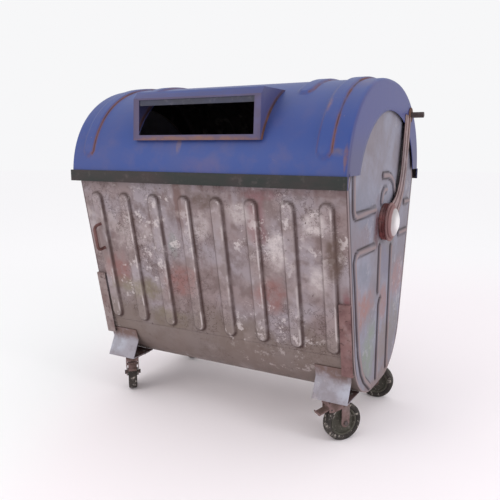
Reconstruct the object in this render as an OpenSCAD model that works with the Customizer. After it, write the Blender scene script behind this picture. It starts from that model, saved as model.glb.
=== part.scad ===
/* [Container] */
// Width over the side panels
body_w = 1236; // [1220:2:1250]
// Height of the container's rim above the floor
rim_z = 1036; // [1032:1:1040]
// Half depth of the container at the rim
rim_y = 461; // [458:1:463]
// Radius of the rounded trough under the container
trough_r = 262; // [258:1:264]
// Height of the centre of the trough's curve
trough_z = 430; // [429:1:432]
// Half depth of the container where its straight wall would reach the trough centre's height
wall_foot_y = 338; // [336:1:340]
// Thickness of the body sheet
sheet = 2; // [1.5:0.5:2.5]

/* [Ribs and beads] */
// Number of pressed ribs across the front and back walls
rib_count = 8; // [6:1:8]
// Distance between rib centres
rib_pitch = 154; // [150:1:155]
// Width of one wall rib
rib_w = 62; // [50:2:66]
// How far a wall rib stands proud
rib_h = 12; // [8:1:14]
// Width of a bead on a side panel
bead_w = 30; // [24:1:32]
// How far a side bead stands proud
bead_h = 7; // [5:1:8]

/* [Lid] */
// Width over the lid's cheeks
lid_w = 1264; // [1262:1:1266]
// Half depth of the lid
lid_a = 500; // [499:1:501]
// Height of the lid above the rim
lid_b = 414; // [408:1:418]
// Squareness of the lid's curve
lid_n = 2.27; // [2.2:0.01:2.4]
// Height of the lid's edge bands
band_h = 47; // [40:1:50]

/* [Pivot] */
// Height of the trunnion axis above the floor
pivot_z = 878; // [876:1:880]
// Radius of the trunnion shaft
shaft_r = 20; // [18:1:22]
// Radius of the pivot drum
drum_r = 76; // [70:1:78]
// Radius of the domed cap on the trunnion
cap_r = 68; // [60:1:70]

/* [Slot hood] */
// Half width of the hood
hood_x = 292; // [280:1:300]
// Lowest edge of the hood
hood_z0 = 1207; // [1205:1:1210]
// Roof of the hood
hood_z1 = 1398; // [1394:1:1400]
// Front face of the hood, in front of the pivot axis
hood_y = 488; // [484:1:490]

/* [Casters] */
// Radius of the wheels
wheel_r = 80; // [78:1:80]
// Width of the tyre
tyre_w = 42; // [38:1:42]
// Distance from the swivel axis to the wheel's axle, seen from above
trail = 30; // [24:1:36]
// Distance of the front swivel axes from the middle of the container
caster_x = 528; // [526:1:530]
// Distance of the rear swivel axes from the middle of the container
caster_rear_x = 515; // [505:1:530]
// Distance of the front swivel axes from the middle
caster_front_y = 262; // [260:1:264]
// Distance of the rear swivel axes from the middle
caster_rear_y = 242; // [240:1:256]
// Directions in which the four wheels trail: front left, front right, rear left, rear right
caster_turn = [130, 52, 140, 5];

/* [Hidden] */
$fn = 96;

// The straight walls lean out by wall_a degrees and run tangent into the trough.
wall_a = atan((rim_y - wall_foot_y) / (rim_z - trough_z));
trough_y = rim_y - (trough_r + (rim_z - trough_z) * sin(wall_a)) / cos(wall_a);
tangent_y = trough_y + trough_r * cos(wall_a);
tangent_z = trough_z - trough_r * sin(wall_a);
wall_len = norm([rim_y - tangent_y, rim_z - tangent_z]);
floor_z = trough_z - trough_r;
side_x = body_w / 2;
inner_x = side_x - sheet;
ear_r = norm([rim_y, rim_z - pivot_z]);
reach = 400;

// Rim rails stand on the walls.
rail_y0 = rim_y - 25;
rail_w = 30;
rail_h = 28;
rail_z = rim_z + sheet * sin(wall_a);

// Ribs are shallow slices of a round bar with ball ends.
rib_r = ((rib_w / 2) ^ 2 + rib_h ^ 2) / (2 * rib_h);
rib_top = 624;
rib_foot = 12;

// Lid layers, outwards along X: cheek, arm, then the hub's face.
cheek_x = lid_w / 2;
arm_t = 3;
hub_x1 = cheek_x + 14;
flange_x = hub_x1 + 0.5;
flange_t = 5;
flange_r = 80;
cap_h = 31;
shaft_x0 = side_x - 40;
bush_r = shaft_r + 4;
run_fit = 0.05;
lid_bead_w = 64;
lid_bead_h = 9;
lid_bead_foot = 1141;
cheek_foot = rim_z + band_h;
band_t = 6;
arch_h = 292;
arch_front = 375;
arch_rear = 405;

// Opening cut in the face of the hood.
slot_x = hood_x - 28;
slot_z0 = hood_z0 + 20;
slot_z1 = hood_z1 - 33;

// Opener pins stand out of the cheeks behind the crown of the lid.
pin_y = 308;
pin_z = 1325;
pin_r = 12.5;
pin_len = 55;
pin_plate_t = 5;

// Corner guards start below the tangent line and end part way up the wall.
guard_off = 14;
guard_z = -72;
guard_l = 306;
guard_x = 571;
guard_w = 46;

// Caster bracket: a bent strip from the wall's foot to the trough's belly.
bracket_t = 4;
bracket_w = 149;
plate_z = 194;
top_plate_t = 6;
crown_z = 174;
crown_t = 5.7;
fork_in = 26;
fork_t = 4;
axle_r = 6;
kingpin_r = 8;
bolt_x = 52.5;
bolt_y = 28;
bolt_r = 5;
nut_h = 6;

// The pedal's pin sits in front of the tyre, clear of its tread.
pedal_x = -36;
pedal_z = 146;
pedal_pin_r = 4;
pedal_barrel_r = 7;
pedal_l = 55;
pedal_w = 40;
pedal_tilt = -19;

function super_z(y, a, b) = rim_z + b * (1 - (abs(y) / a) ^ lid_n) ^ (1 / lid_n);
// Half of the lid's curve as points, closer together near its steep edges.
function lid_curve(d, n = 26) = [for (i = [-n:n]) let (y = (lid_a + d) * sin(90 * i / n))
    [y, i == -n || i == n ? rim_z : super_z(y, lid_a + d, lid_b + d)]];
// Half of the arch cut in a cheek, of half width a and squareness p.
function arch_half(a, p, n = 16) = [for (i = [1:n]) let (y = a * sin(90 * i / n))
    [y, i == n ? rim_z : rim_z + arch_h * (1 - (y / a) ^ p) ^ (1 / p)]];
function arch_curve() = concat([[0, rim_z + arch_h]], arch_half(arch_rear, 2.1),
    [for (i = [15:-1:0]) let (p = arch_half(arch_front, 1.85)[i]) [-p[0], p[1]]]);

// Unit direction, left normal and mitre of a bent strip.
function unit(v) = v / norm(v);
function left(v) = [-v[1], v[0]];
function mitre(p, i) = i == 0 ? left(unit(p[1] - p[0]))
    : i == len(p) - 1 ? left(unit(p[i] - p[i - 1]))
    : let (a = left(unit(p[i] - p[i - 1])), b = left(unit(p[i + 1] - p[i]))) (a + b) / (1 + a * b);
function ribbon(p, w) = concat(
    [for (i = [0:len(p) - 1]) p[i] + mitre(p, i) * w / 2],
    [for (i = [len(p) - 1:-1:0]) p[i] - mitre(p, i) * w / 2]);
// A strip shortened at both ends, for the hollow behind a bead.
function trimmed(p, c) = [for (i = [0:len(p) - 1])
    i == 0 ? p[0] + unit(p[1] - p[0]) * c
    : i == len(p) - 1 ? p[i] - unit(p[i] - p[i - 1]) * c : p[i]];

// Beads on a side panel, each as (depth, height) points along its middle.
BEADS = [
    [[-404, 1110], [-396, 1010], [-390, 958], [-380, 940], [-360, 932], [-127, 939]],
    [[-120, 788], [-320, 792], [-348, 784], [-361, 760], [-335, 656], [-300, 491], [-272, 381],
        [-232, 298], [-190, 250], [-112, 193]],
    [[-34, 1069], [40, 1068], [85, 1058], [122, 1035], [140, 1000], [151, 956]],
    [[-46, 964], [-38, 992], [-14, 1010], [19, 1010]],
    [[-45, 776], [-45, 593]],
    [[-2, 546], [-16, 541], [-25, 526], [-25, 208]],
    [[125, 756], [125, 212]],
    [[318, 937], [392, 937]],
    [[245, 800], [372, 800]]];

// Middle of a lid arm, from the cheek down and round to the hub.
ARM = [[270, 1318], [243, 1140], [222, 1050], [188, 985], [136, 935], [60, 900]];

CORNERS = [[-1, -1], [1, -1], [-1, 1], [1, 1]];
function corner_x(k) = CORNERS[k][0] * (CORNERS[k][1] < 0 ? caster_x : caster_rear_x);
function corner_y(k) = CORNERS[k][1] * (CORNERS[k][1] < 0 ? caster_front_y : caster_rear_y);

// Draws a (depth, height) shape and gives it thickness along X.
module across(x, t) translate([x, 0, 0]) rotate([90, 0, 90]) linear_extrude(t) children();
module each_side(s) mirror([s < 0 ? 1 : 0, 0, 0]) children();

module body_section() {
    polygon([[-rim_y, rim_z], [-tangent_y, tangent_z], [-trough_y, trough_z], [-trough_y, floor_z],
        [trough_y, floor_z], [trough_y, trough_z], [tangent_y, tangent_z], [rim_y, rim_z]]);
    for (s = [-1, 1]) translate([s * trough_y, trough_z]) circle(trough_r);
}

// One round-ended bar lying behind the wall's face, whose front slice is a rib.
module rib_bar(x, r) {
    z0 = rib_foot + rib_w / 2;
    z1 = rib_top - rib_w / 2;
    translate([x, rib_r - rib_h, z0]) {
        cylinder(r = r, h = z1 - z0);
        sphere(r);
        translate([0, 0, z1 - z0]) sphere(r);
    }
}

module ribbed_wall(back) color([0.60, 0.55, 0.55]) mirror([0, back, 0])
    translate([0, -tangent_y, tangent_z]) rotate([wall_a, 0, 0])
        difference() {
            union() {
                translate([-inner_x, 0, 0]) cube([2 * inner_x, sheet, wall_len]);
                intersection() {
                    for (i = [0:rib_count - 1]) rib_bar((i - (rib_count - 1) / 2) * rib_pitch, rib_r);
                    translate([-inner_x, -rib_h - 1, 0]) cube([2 * inner_x, rib_h + 1 + sheet, wall_len]);
                }
            }
            for (i = [0:rib_count - 1]) rib_bar((i - (rib_count - 1) / 2) * rib_pitch, rib_r - sheet);
        }

module trough_floor() color([0.50, 0.46, 0.43]) across(-inner_x, 2 * inner_x) {
    for (s = [-1, 1]) translate([s * trough_y, trough_z]) intersection() {
        difference() {
            circle(trough_r);
            circle(trough_r - sheet);
        }
        polygon([[0, 0], [s * reach * cos(wall_a), -reach * sin(wall_a)], [s * reach, -reach], [0, -reach]]);
    }
    translate([-trough_y - 1, floor_z]) square([2 * trough_y + 2, sheet]);
}

module side_panel(s) color([0.55, 0.55, 0.60]) each_side(s) difference() {
    union() {
        across(inner_x, sheet) {
            body_section();
            intersection() {
                translate([0, pivot_z]) circle(ear_r);
                translate([-reach * 2, rim_z - 1]) square([reach * 4, reach * 2]);
            }
        }
        for (b = BEADS) across(inner_x + sheet / 2, sheet / 2 + bead_h) polygon(ribbon(b, bead_w));
    }
    for (b = BEADS) across(inner_x - 1, 1 + bead_h)
        polygon(ribbon(trimmed(b, sheet), bead_w - 2 * sheet));
    across(inner_x - 1, sheet + 2) translate([0, pivot_z]) circle(shaft_r);
}

module rim_rail(back) color([0.35, 0.30, 0.30]) mirror([0, back, 0])
    translate([-inner_x, -rail_y0 - rail_w, rail_z]) difference() {
        cube([2 * inner_x, rail_w, rail_h]);
        translate([-1, sheet, sheet]) cube([2 * inner_x + 2, rail_w - 2 * sheet, rail_h - 2 * sheet]);
    }

// Fixed half of the pivot drum, welded to the side panel.
module trunnion_boss(s) color([0.35, 0.22, 0.20]) each_side(s) across(side_x, cheek_x - side_x - 0.5)
    translate([0, pivot_z]) difference() {
        circle(drum_r);
        circle(shaft_r);
    }

module trunnion_shaft(s) color([0.45, 0.42, 0.42]) each_side(s)
    across(shaft_x0, flange_x + flange_t - shaft_x0) translate([0, pivot_z]) circle(shaft_r);

// Flange with its domed cap, on the end of the shaft.
module trunnion_cap(s) color([0.72, 0.70, 0.68]) each_side(s) translate([flange_x, 0, pivot_z])
    rotate([0, 90, 0]) difference() {
        dome_r = (cap_r ^ 2 + (cap_h - 6) ^ 2) / (2 * (cap_h - 6));
        union() {
            cylinder(r = flange_r, h = flange_t);
            intersection() {
                union() {
                    cylinder(r = cap_r, h = flange_t + 6);
                    translate([0, 0, flange_t + cap_h - dome_r]) intersection() {
                        sphere(dome_r);
                        translate([0, 0, dome_r - cap_h + 6])
                            cylinder(r = cap_r, h = cap_h);
                    }
                }
                cylinder(r = cap_r, h = flange_t + cap_h + 1);
            }
        }
        translate([0, 0, -1]) cylinder(r = shaft_r, h = flange_t + 1);
    }

// Flat strap held off the wall by its bent ends.
module corner_guard(s) color([0.48, 0.36, 0.37]) each_side(s)
    translate([0, -tangent_y, tangent_z]) rotate([wall_a, 0, 0]) translate([guard_x, -guard_off, guard_z]) {
        cube([guard_w, 4, guard_l]);
        translate([0, 0, guard_l - 5]) cube([guard_w, guard_off - 0.2, 5]);
        cube([guard_w, guard_off + 0.5, 5]);
    }

// Bent bar welded to the crest of the left outer rib.
module grab_handle() color([0.36, 0.22, 0.20]) translate([0, -tangent_y, tangent_z])
    rotate([wall_a, 0, 0]) translate([-rib_pitch * 3.5, -rib_h, 364]) {
        bar = 7;
        bend = 20;
        off = 42;
        high = 112;
        for (m = [0, 1]) translate([0, 0, m * high]) mirror([0, 0, m]) {
            rotate([90, 0, 0]) cylinder(r = bar, h = off - bend);
            translate([0, -(off - bend), bend]) rotate([0, 90, 0]) rotate([0, 0, -90])
                rotate_extrude(angle = 90) translate([bend, 0]) circle(bar);
        }
        translate([0, -off, bend]) cylinder(r = bar, h = high - 2 * bend);
    }

module caster_bracket(k) color([0.58, 0.56, 0.60]) difference() {
    mirror([0, CORNERS[k][1] < 0 ? 0 : 1, 0])
        across(corner_x(k) - bracket_w / 2, bracket_w)
            polygon(ribbon([[-316, 330], [-300, 276], [-339, 196], [-194, 196]], bracket_t));
    at_bolts(k) translate([0, 0, plate_z - 1]) cylinder(r = bolt_r, h = bracket_t + 2);
}

module at_bolts(k) for (x = [-bolt_x, bolt_x], y = [-bolt_y, bolt_y])
    translate([corner_x(k) + x, corner_y(k) + y, 0]) children();
module at_caster(k) translate([corner_x(k), corner_y(k), 0]) children();
module turned_caster(k) at_caster(k) rotate([0, 0, caster_turn[k]]) children();

module caster_top_plates() color([0.40, 0.36, 0.36]) for (k = [0:3]) difference() {
    at_caster(k) {
        translate([-67.5, -52, plate_z - top_plate_t]) cube([135, 104, top_plate_t]);
        translate([0, 0, crown_z + crown_t + 0.3])
            cylinder(r = 34, h = plate_z - crown_z - crown_t - top_plate_t);
    }
    at_caster(k) translate([0, 0, crown_z]) cylinder(r = kingpin_r, h = 30);
    at_bolts(k) translate([0, 0, plate_z - 20]) cylinder(r = bolt_r, h = 30);
}

// Bolts with their heads below the top plate and their nuts above the bracket.
module caster_bolts() color([0.42, 0.36, 0.34]) for (k = [0:3]) at_bolts(k) {
    translate([0, 0, plate_z - top_plate_t - 6]) cylinder(r = 9, h = 6, $fn = 6);
    translate([0, 0, plate_z - top_plate_t - 1])
        cylinder(r = bolt_r - 0.1, h = top_plate_t + bracket_t + nut_h + 1);
    translate([0, 0, plate_z + bracket_t]) cylinder(r = 9, h = nut_h, $fn = 6);
}

module kingpins() color([0.42, 0.36, 0.34]) for (k = [0:3]) at_caster(k) {
    translate([0, 0, crown_z - 9]) cylinder(r = kingpin_r - run_fit, h = plate_z - crown_z + 8.9);
    translate([0, 0, crown_z - 10]) cylinder(r = 13, h = 9.7, $fn = 6);
}

// Lid pieces, all of which turn together about the trunnion axis.
module lid_layer(d, x, w, front_z, start_y = 0) {
    across(x - w / 2, w) intersection() {
        polygon(lid_curve(d));
        union() {
            translate([-reach * 2, front_z]) square([reach * 2 + 2 * sheet, reach * 2]);
            translate([start_y, lid_bead_foot]) square([reach * 2, reach * 2]);
        }
    }
}
// The outer beads run down the front; the ones behind the hood start at the top of the dome.
function bead_front(i) = abs(i) == 3.5 ? lid_bead_foot : abs(i) == 2.5 ? 1378 : rim_z + reach * 2;

module lid_dome() color([0.25, 0.33, 0.58]) difference() {
    union() {
        across(-cheek_x, 2 * cheek_x) polygon(lid_curve(0));
        for (i = [-3.5:3.5]) lid_layer(lid_bead_h, i * rib_pitch, lid_bead_w, bead_front(i));
    }
    across(-cheek_x - 1, 2 * cheek_x + 2) polygon(concat([[-lid_a + sheet, rim_z - 1]],
        lid_curve(-sheet), [[lid_a - sheet, rim_z - 1]]));
    for (i = [-3.5:3.5]) intersection() {
        lid_layer(lid_bead_h - sheet, i * rib_pitch, lid_bead_w - 2 * sheet, bead_front(i) + sheet, sheet);
        translate([-lid_w, -reach * 2, lid_bead_foot + sheet]) cube([2 * lid_w, reach * 4, reach]);
    }
    translate([-hood_x + 5, -reach * 2, hood_z0 + 6])
        cube([2 * hood_x - 10, reach * 2 - 200, hood_z1 - hood_z0 - 10]);
}

// Flat side of the lid, with the tall arch that leaves the side panel bare.
module lid_cheek(s) color([0.25, 0.33, 0.58]) each_side(s)
    across(cheek_x - sheet, sheet) difference() {
        intersection() {
            polygon(lid_curve(-sheet));
            translate([-reach * 2, cheek_foot]) square([reach * 4, reach * 2]);
        }
        polygon(arch_curve());
    }

module lid_arm(s) color([0.55, 0.42, 0.42]) each_side(s) difference() {
    union() {
        across(cheek_x, arm_t) polygon(ribbon(ARM, 96));
        for (d = [-24, 24]) across(cheek_x + arm_t - 1, 5)
            polygon(ribbon([for (i = [0:len(ARM) - 2]) ARM[i] + mitre(ARM, i) * d], 16));
    }
    across(cheek_x - 1, 20) translate([0, pivot_z]) circle(drum_r + 0.2);
    across(cheek_x - 1, 20) translate([pin_y, pin_z]) circle(pin_r + 22);
}

// Turning half of the pivot drum.
module lid_hub(s) color([0.35, 0.22, 0.20]) each_side(s) across(cheek_x, hub_x1 - cheek_x)
    translate([0, pivot_z]) difference() {
        circle(drum_r);
        circle(bush_r);
    }

module pivot_bush(s) color([0.70, 0.68, 0.60]) each_side(s) across(cheek_x, hub_x1 - cheek_x)
    translate([0, pivot_z]) difference() {
        circle(bush_r);
        circle(shaft_r + run_fit);
    }

// Side outline of the hood: it leans back a little and has a blunt top edge.
function hood_side(d) = [[-hood_y + d, hood_z0 + d], [-hood_y + 9 + d, hood_z1 - 26],
    [-hood_y + 34 + d * 0.5, hood_z1 - d], [-200, hood_z1 - d], [-200, hood_z0 + d]];

module slot_hood() color([0.28, 0.35, 0.58]) difference() {
    across(-hood_x, 2 * hood_x) polygon(hood_side(0));
    across(-hood_x + 3, 2 * hood_x - 6) polygon(hood_side(3));
    translate([-slot_x, -hood_y - 10, slot_z0]) cube([2 * slot_x, 60, slot_z1 - slot_z0]);
    across(-hood_x - 1, 2 * hood_x + 2) polygon(lid_curve(0));
}

// Dull strip that hangs across the top of the slot.
module slot_lip() color([0.22, 0.24, 0.25])
    translate([-slot_x, -hood_y + 12.5, slot_z1 - 22]) cube([2 * slot_x, 4, 28]);

module edge_band(back) color([0.16, 0.19, 0.18]) mirror([0, back, 0])
    translate([-cheek_x, -lid_a - band_t, rim_z]) cube([2 * cheek_x, band_t - 0.2, band_h]);

module opener_pin(s) color([0.22, 0.20, 0.20]) each_side(s)
    across(cheek_x + pin_plate_t, pin_len) translate([pin_y, pin_z]) circle(pin_r);

module opener_plate(s) color([0.34, 0.24, 0.20]) each_side(s)
    across(cheek_x, pin_plate_t) translate([pin_y, pin_z]) circle(pin_r + 20);

// Caster pieces are drawn trailing along +X and then turned.
module fork(k) color([0.50, 0.42, 0.40]) turned_caster(k) difference() {
    union() {
        translate([-46, -fork_in - fork_t, crown_z]) cube([78, 2 * (fork_in + fork_t), crown_t]);
        for (s = [-1, 1]) translate([0, s * (fork_in + fork_t / 2) + fork_t / 2, 0])
            rotate([90, 0, 0]) linear_extrude(fork_t) {
                polygon([[-46, crown_z + 1], [36, crown_z + 1], [trail + 18, crown_z - 16],
                    [trail + 18, wheel_r], [trail - 18, wheel_r], [trail - 18, pedal_z - 2],
                    [-26, pedal_z - 12], [-46, pedal_z - 10]]);
                translate([trail, wheel_r]) circle(18);
            }
        translate([-50, -fork_in - fork_t, crown_z - 14]) cube([4, 2 * (fork_in + fork_t), 14 + crown_t]);
    }
    translate([0, 0, crown_z - 1]) cylinder(r = kingpin_r, h = crown_t + 2);
    translate([trail, 100, wheel_r]) rotate([90, 0, 0]) cylinder(r = axle_r, h = 200);
    if (k < 2) translate([pedal_x, 100, pedal_z]) rotate([90, 0, 0]) cylinder(r = pedal_pin_r, h = 200);
}

module axle(k) color([0.35, 0.30, 0.30]) turned_caster(k) translate([trail, 0, wheel_r])
    rotate([90, 0, 0]) {
        half = fork_in + fork_t;
        translate([0, 0, -half]) cylinder(r = axle_r, h = 2 * half);
        for (s = [-1, 1]) translate([0, 0, s > 0 ? half : -half - 8]) cylinder(r = 10, h = 8, $fn = 6);
    }

module wheel(k) color([0.55, 0.53, 0.50]) turned_caster(k) translate([trail, 0, wheel_r])
    rotate([90, 0, 0]) rotate_extrude() {
        hub_l = 2 * fork_in - 1;
        translate([axle_r + run_fit, -hub_l / 2]) square([14, hub_l]);
        translate([18, -5]) square([36, 10]);
        translate([50, -16]) square([8, 32]);
    }

module tyre(k) color([0.14, 0.14, 0.14]) turned_caster(k) translate([trail, 0, wheel_r])
    rotate([90, 0, 0]) rotate_extrude() difference() {
        h = tyre_w / 2;
        polygon([[58, -h + 2], [74, -h], [78, -h + 5], [wheel_r, -h + 12], [wheel_r, h - 12], [78, h - 5],
            [74, h], [58, h - 2]]);
    }

// Foot lever of the front brakes, hinged on a pin through the fork.
module brake_pedal(k) color([0.38, 0.38, 0.34]) turned_caster(k) translate([pedal_x, 0, pedal_z])
    difference() {
        union() {
            translate([0, fork_in - 1, 0]) rotate([90, 0, 0])
                cylinder(r = pedal_barrel_r, h = 2 * fork_in - 2);
            rotate([0, pedal_tilt, 0]) {
                translate([-pedal_l, -pedal_w / 2, -2]) cube([pedal_l - 2, pedal_w, 4]);
                translate([-pedal_l, -pedal_w / 2, -2]) cube([4, pedal_w, 11]);
            }
        }
        translate([0, fork_in, 0]) rotate([90, 0, 0]) cylinder(r = pedal_pin_r + run_fit, h = 2 * fork_in);
    }

module brake_pin(k) color([0.35, 0.30, 0.30]) turned_caster(k)
    translate([pedal_x, fork_in + fork_t, pedal_z]) rotate([90, 0, 0])
        cylinder(r = pedal_pin_r, h = 2 * (fork_in + fork_t));

ribbed_wall(0);  // front_wall
ribbed_wall(1);  // rear_wall
trough_floor();
side_panel(-1);  // side_panel_left
side_panel(1);  // side_panel_right
rim_rail(0);  // rim_rail_front
rim_rail(1);  // rim_rail_rear
trunnion_boss(-1);  // trunnion_boss_left
trunnion_boss(1);  // trunnion_boss_right
trunnion_shaft(-1);  // trunnion_shaft_left
trunnion_shaft(1);  // trunnion_shaft_right
trunnion_cap(-1);  // trunnion_cap_left
trunnion_cap(1);  // trunnion_cap_right
corner_guard(-1);  // corner_guard_left
corner_guard(1);  // corner_guard_right
grab_handle();
caster_bracket(0);  // caster_bracket_fl
caster_bracket(1);  // caster_bracket_fr
caster_bracket(2);  // caster_bracket_rl
caster_bracket(3);  // caster_bracket_rr
caster_top_plates();
caster_bolts();
kingpins();
lid_dome();
lid_cheek(-1);  // lid_cheek_left
lid_cheek(1);  // lid_cheek_right
lid_arm(-1);  // lid_arm_left
lid_arm(1);  // lid_arm_right
lid_hub(-1);  // lid_hub_left
lid_hub(1);  // lid_hub_right
pivot_bush(-1);  // pivot_bush_left
pivot_bush(1);  // pivot_bush_right
slot_hood();
slot_lip();
edge_band(0);  // edge_band_front
edge_band(1);  // edge_band_rear
opener_pin(-1);  // opener_pin_left
opener_pin(1);  // opener_pin_right
opener_plate(-1);  // opener_plate_left
opener_plate(1);  // opener_plate_right
fork(0);  // fork_fl
fork(1);  // fork_fr
fork(2);  // fork_rl
fork(3);  // fork_rr
axle(0);  // axle_fl
axle(1);  // axle_fr
axle(2);  // axle_rl
axle(3);  // axle_rr
wheel(0);  // wheel_fl
wheel(1);  // wheel_fr
wheel(2);  // wheel_rl
wheel(3);  // wheel_rr
tyre(0);  // tyre_fl
tyre(1);  // tyre_fr
tyre(2);  // tyre_rl
tyre(3);  // tyre_rr
brake_pedal(0);  // brake_pedal_fl
brake_pedal(1);  // brake_pedal_fr
brake_pin(0);  // brake_pin_fl
brake_pin(1);  // brake_pin_fr
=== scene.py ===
# %% [markdown]
# # A steel waste container with a dome lid
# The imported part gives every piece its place, its size and the body it moves with. This script gives the
# pieces their looks: pressed sheet with soft folds, turned tyres, worn paint, stained zinc and rust.

# %% Load the frame
import math

import bmesh
import bpy
from mathutils import Matrix, Vector


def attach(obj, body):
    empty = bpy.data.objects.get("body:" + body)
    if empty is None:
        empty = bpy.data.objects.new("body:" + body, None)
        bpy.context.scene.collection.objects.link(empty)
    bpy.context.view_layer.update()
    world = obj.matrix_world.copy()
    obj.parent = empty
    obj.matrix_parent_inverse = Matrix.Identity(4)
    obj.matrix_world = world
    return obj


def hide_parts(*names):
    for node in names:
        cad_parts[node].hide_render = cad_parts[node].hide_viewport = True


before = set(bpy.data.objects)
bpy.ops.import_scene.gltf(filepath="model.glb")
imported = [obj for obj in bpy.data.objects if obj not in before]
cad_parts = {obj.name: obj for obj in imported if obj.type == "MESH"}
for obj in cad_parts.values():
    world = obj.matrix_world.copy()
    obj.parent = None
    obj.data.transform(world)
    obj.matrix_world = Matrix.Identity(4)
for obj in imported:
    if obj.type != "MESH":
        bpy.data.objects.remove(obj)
mm = 0.001
pivot_z, rim_z = 878 * mm, 1036 * mm
lid_depth, lid_rise, squareness = 500 * mm, 414 * mm, 2.27
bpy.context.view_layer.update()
print("pieces in the frame:", len(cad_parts))

# %% [markdown]
# ## Camera, floor and light
# The container stands on a pale floor under a bright, even sky, with one large soft lamp high on the left.
# A wide lamp far away gives the gentle shadow that a studio tent gives.

# %% Camera
lens_mm = 42.25
yaw, pitch, roll = 0.5006, 0.1716, 0.003
camera = bpy.data.objects.new("camera", bpy.data.cameras.new("camera"))
camera.data.lens = lens_mm
camera.data.sensor_width = 36.0
camera.matrix_world = (Matrix.Translation((1.296, -2.3961, 1.1764)) @ Matrix.Rotation(yaw, 4, "Z")
                       @ Matrix.Rotation(math.pi / 2 - pitch, 4, "X") @ Matrix.Rotation(roll, 4, "Z"))
bpy.context.scene.collection.objects.link(camera)
bpy.context.scene.camera = camera
bpy.context.scene.view_settings.view_transform = "Standard"

# %% Sky and lamps
world = bpy.data.worlds.new("studio")
world.use_nodes = True
world.node_tree.nodes["Background"].inputs["Color"].default_value = (0.93, 0.93, 0.94, 1)
world.node_tree.nodes["Background"].inputs["Strength"].default_value = 1.0
bpy.context.scene.world = world


def soft_lamp(name, place, target, size, watts, colour=(1, 1, 1)):
    """A square lamp that points at a target."""
    lamp = bpy.data.objects.new(name, bpy.data.lights.new(name, "AREA"))
    lamp.data.size = size
    lamp.data.energy = watts
    lamp.data.color = colour
    lamp.location = place
    lamp.rotation_euler = (Vector(target) - Vector(place)).to_track_quat("-Z", "Y").to_euler()
    bpy.context.scene.collection.objects.link(lamp)


soft_lamp("key", (-1.9, -4.0, 2.6), (0, 0, 0.5), 2.6, 46, (1.0, 0.97, 0.95))
soft_lamp("side", (4.2, -0.9, 2.4), (0, 0, 0.8), 1.2, 34, (0.95, 0.96, 1.0))

# %% [markdown]
# ## Finishes
# Old steel is never one colour. Each finish here starts from a base and lays stains, scuffs and rust over
# it, and each layer is masked by noise. A small builder class keeps the node code short enough to read.


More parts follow.
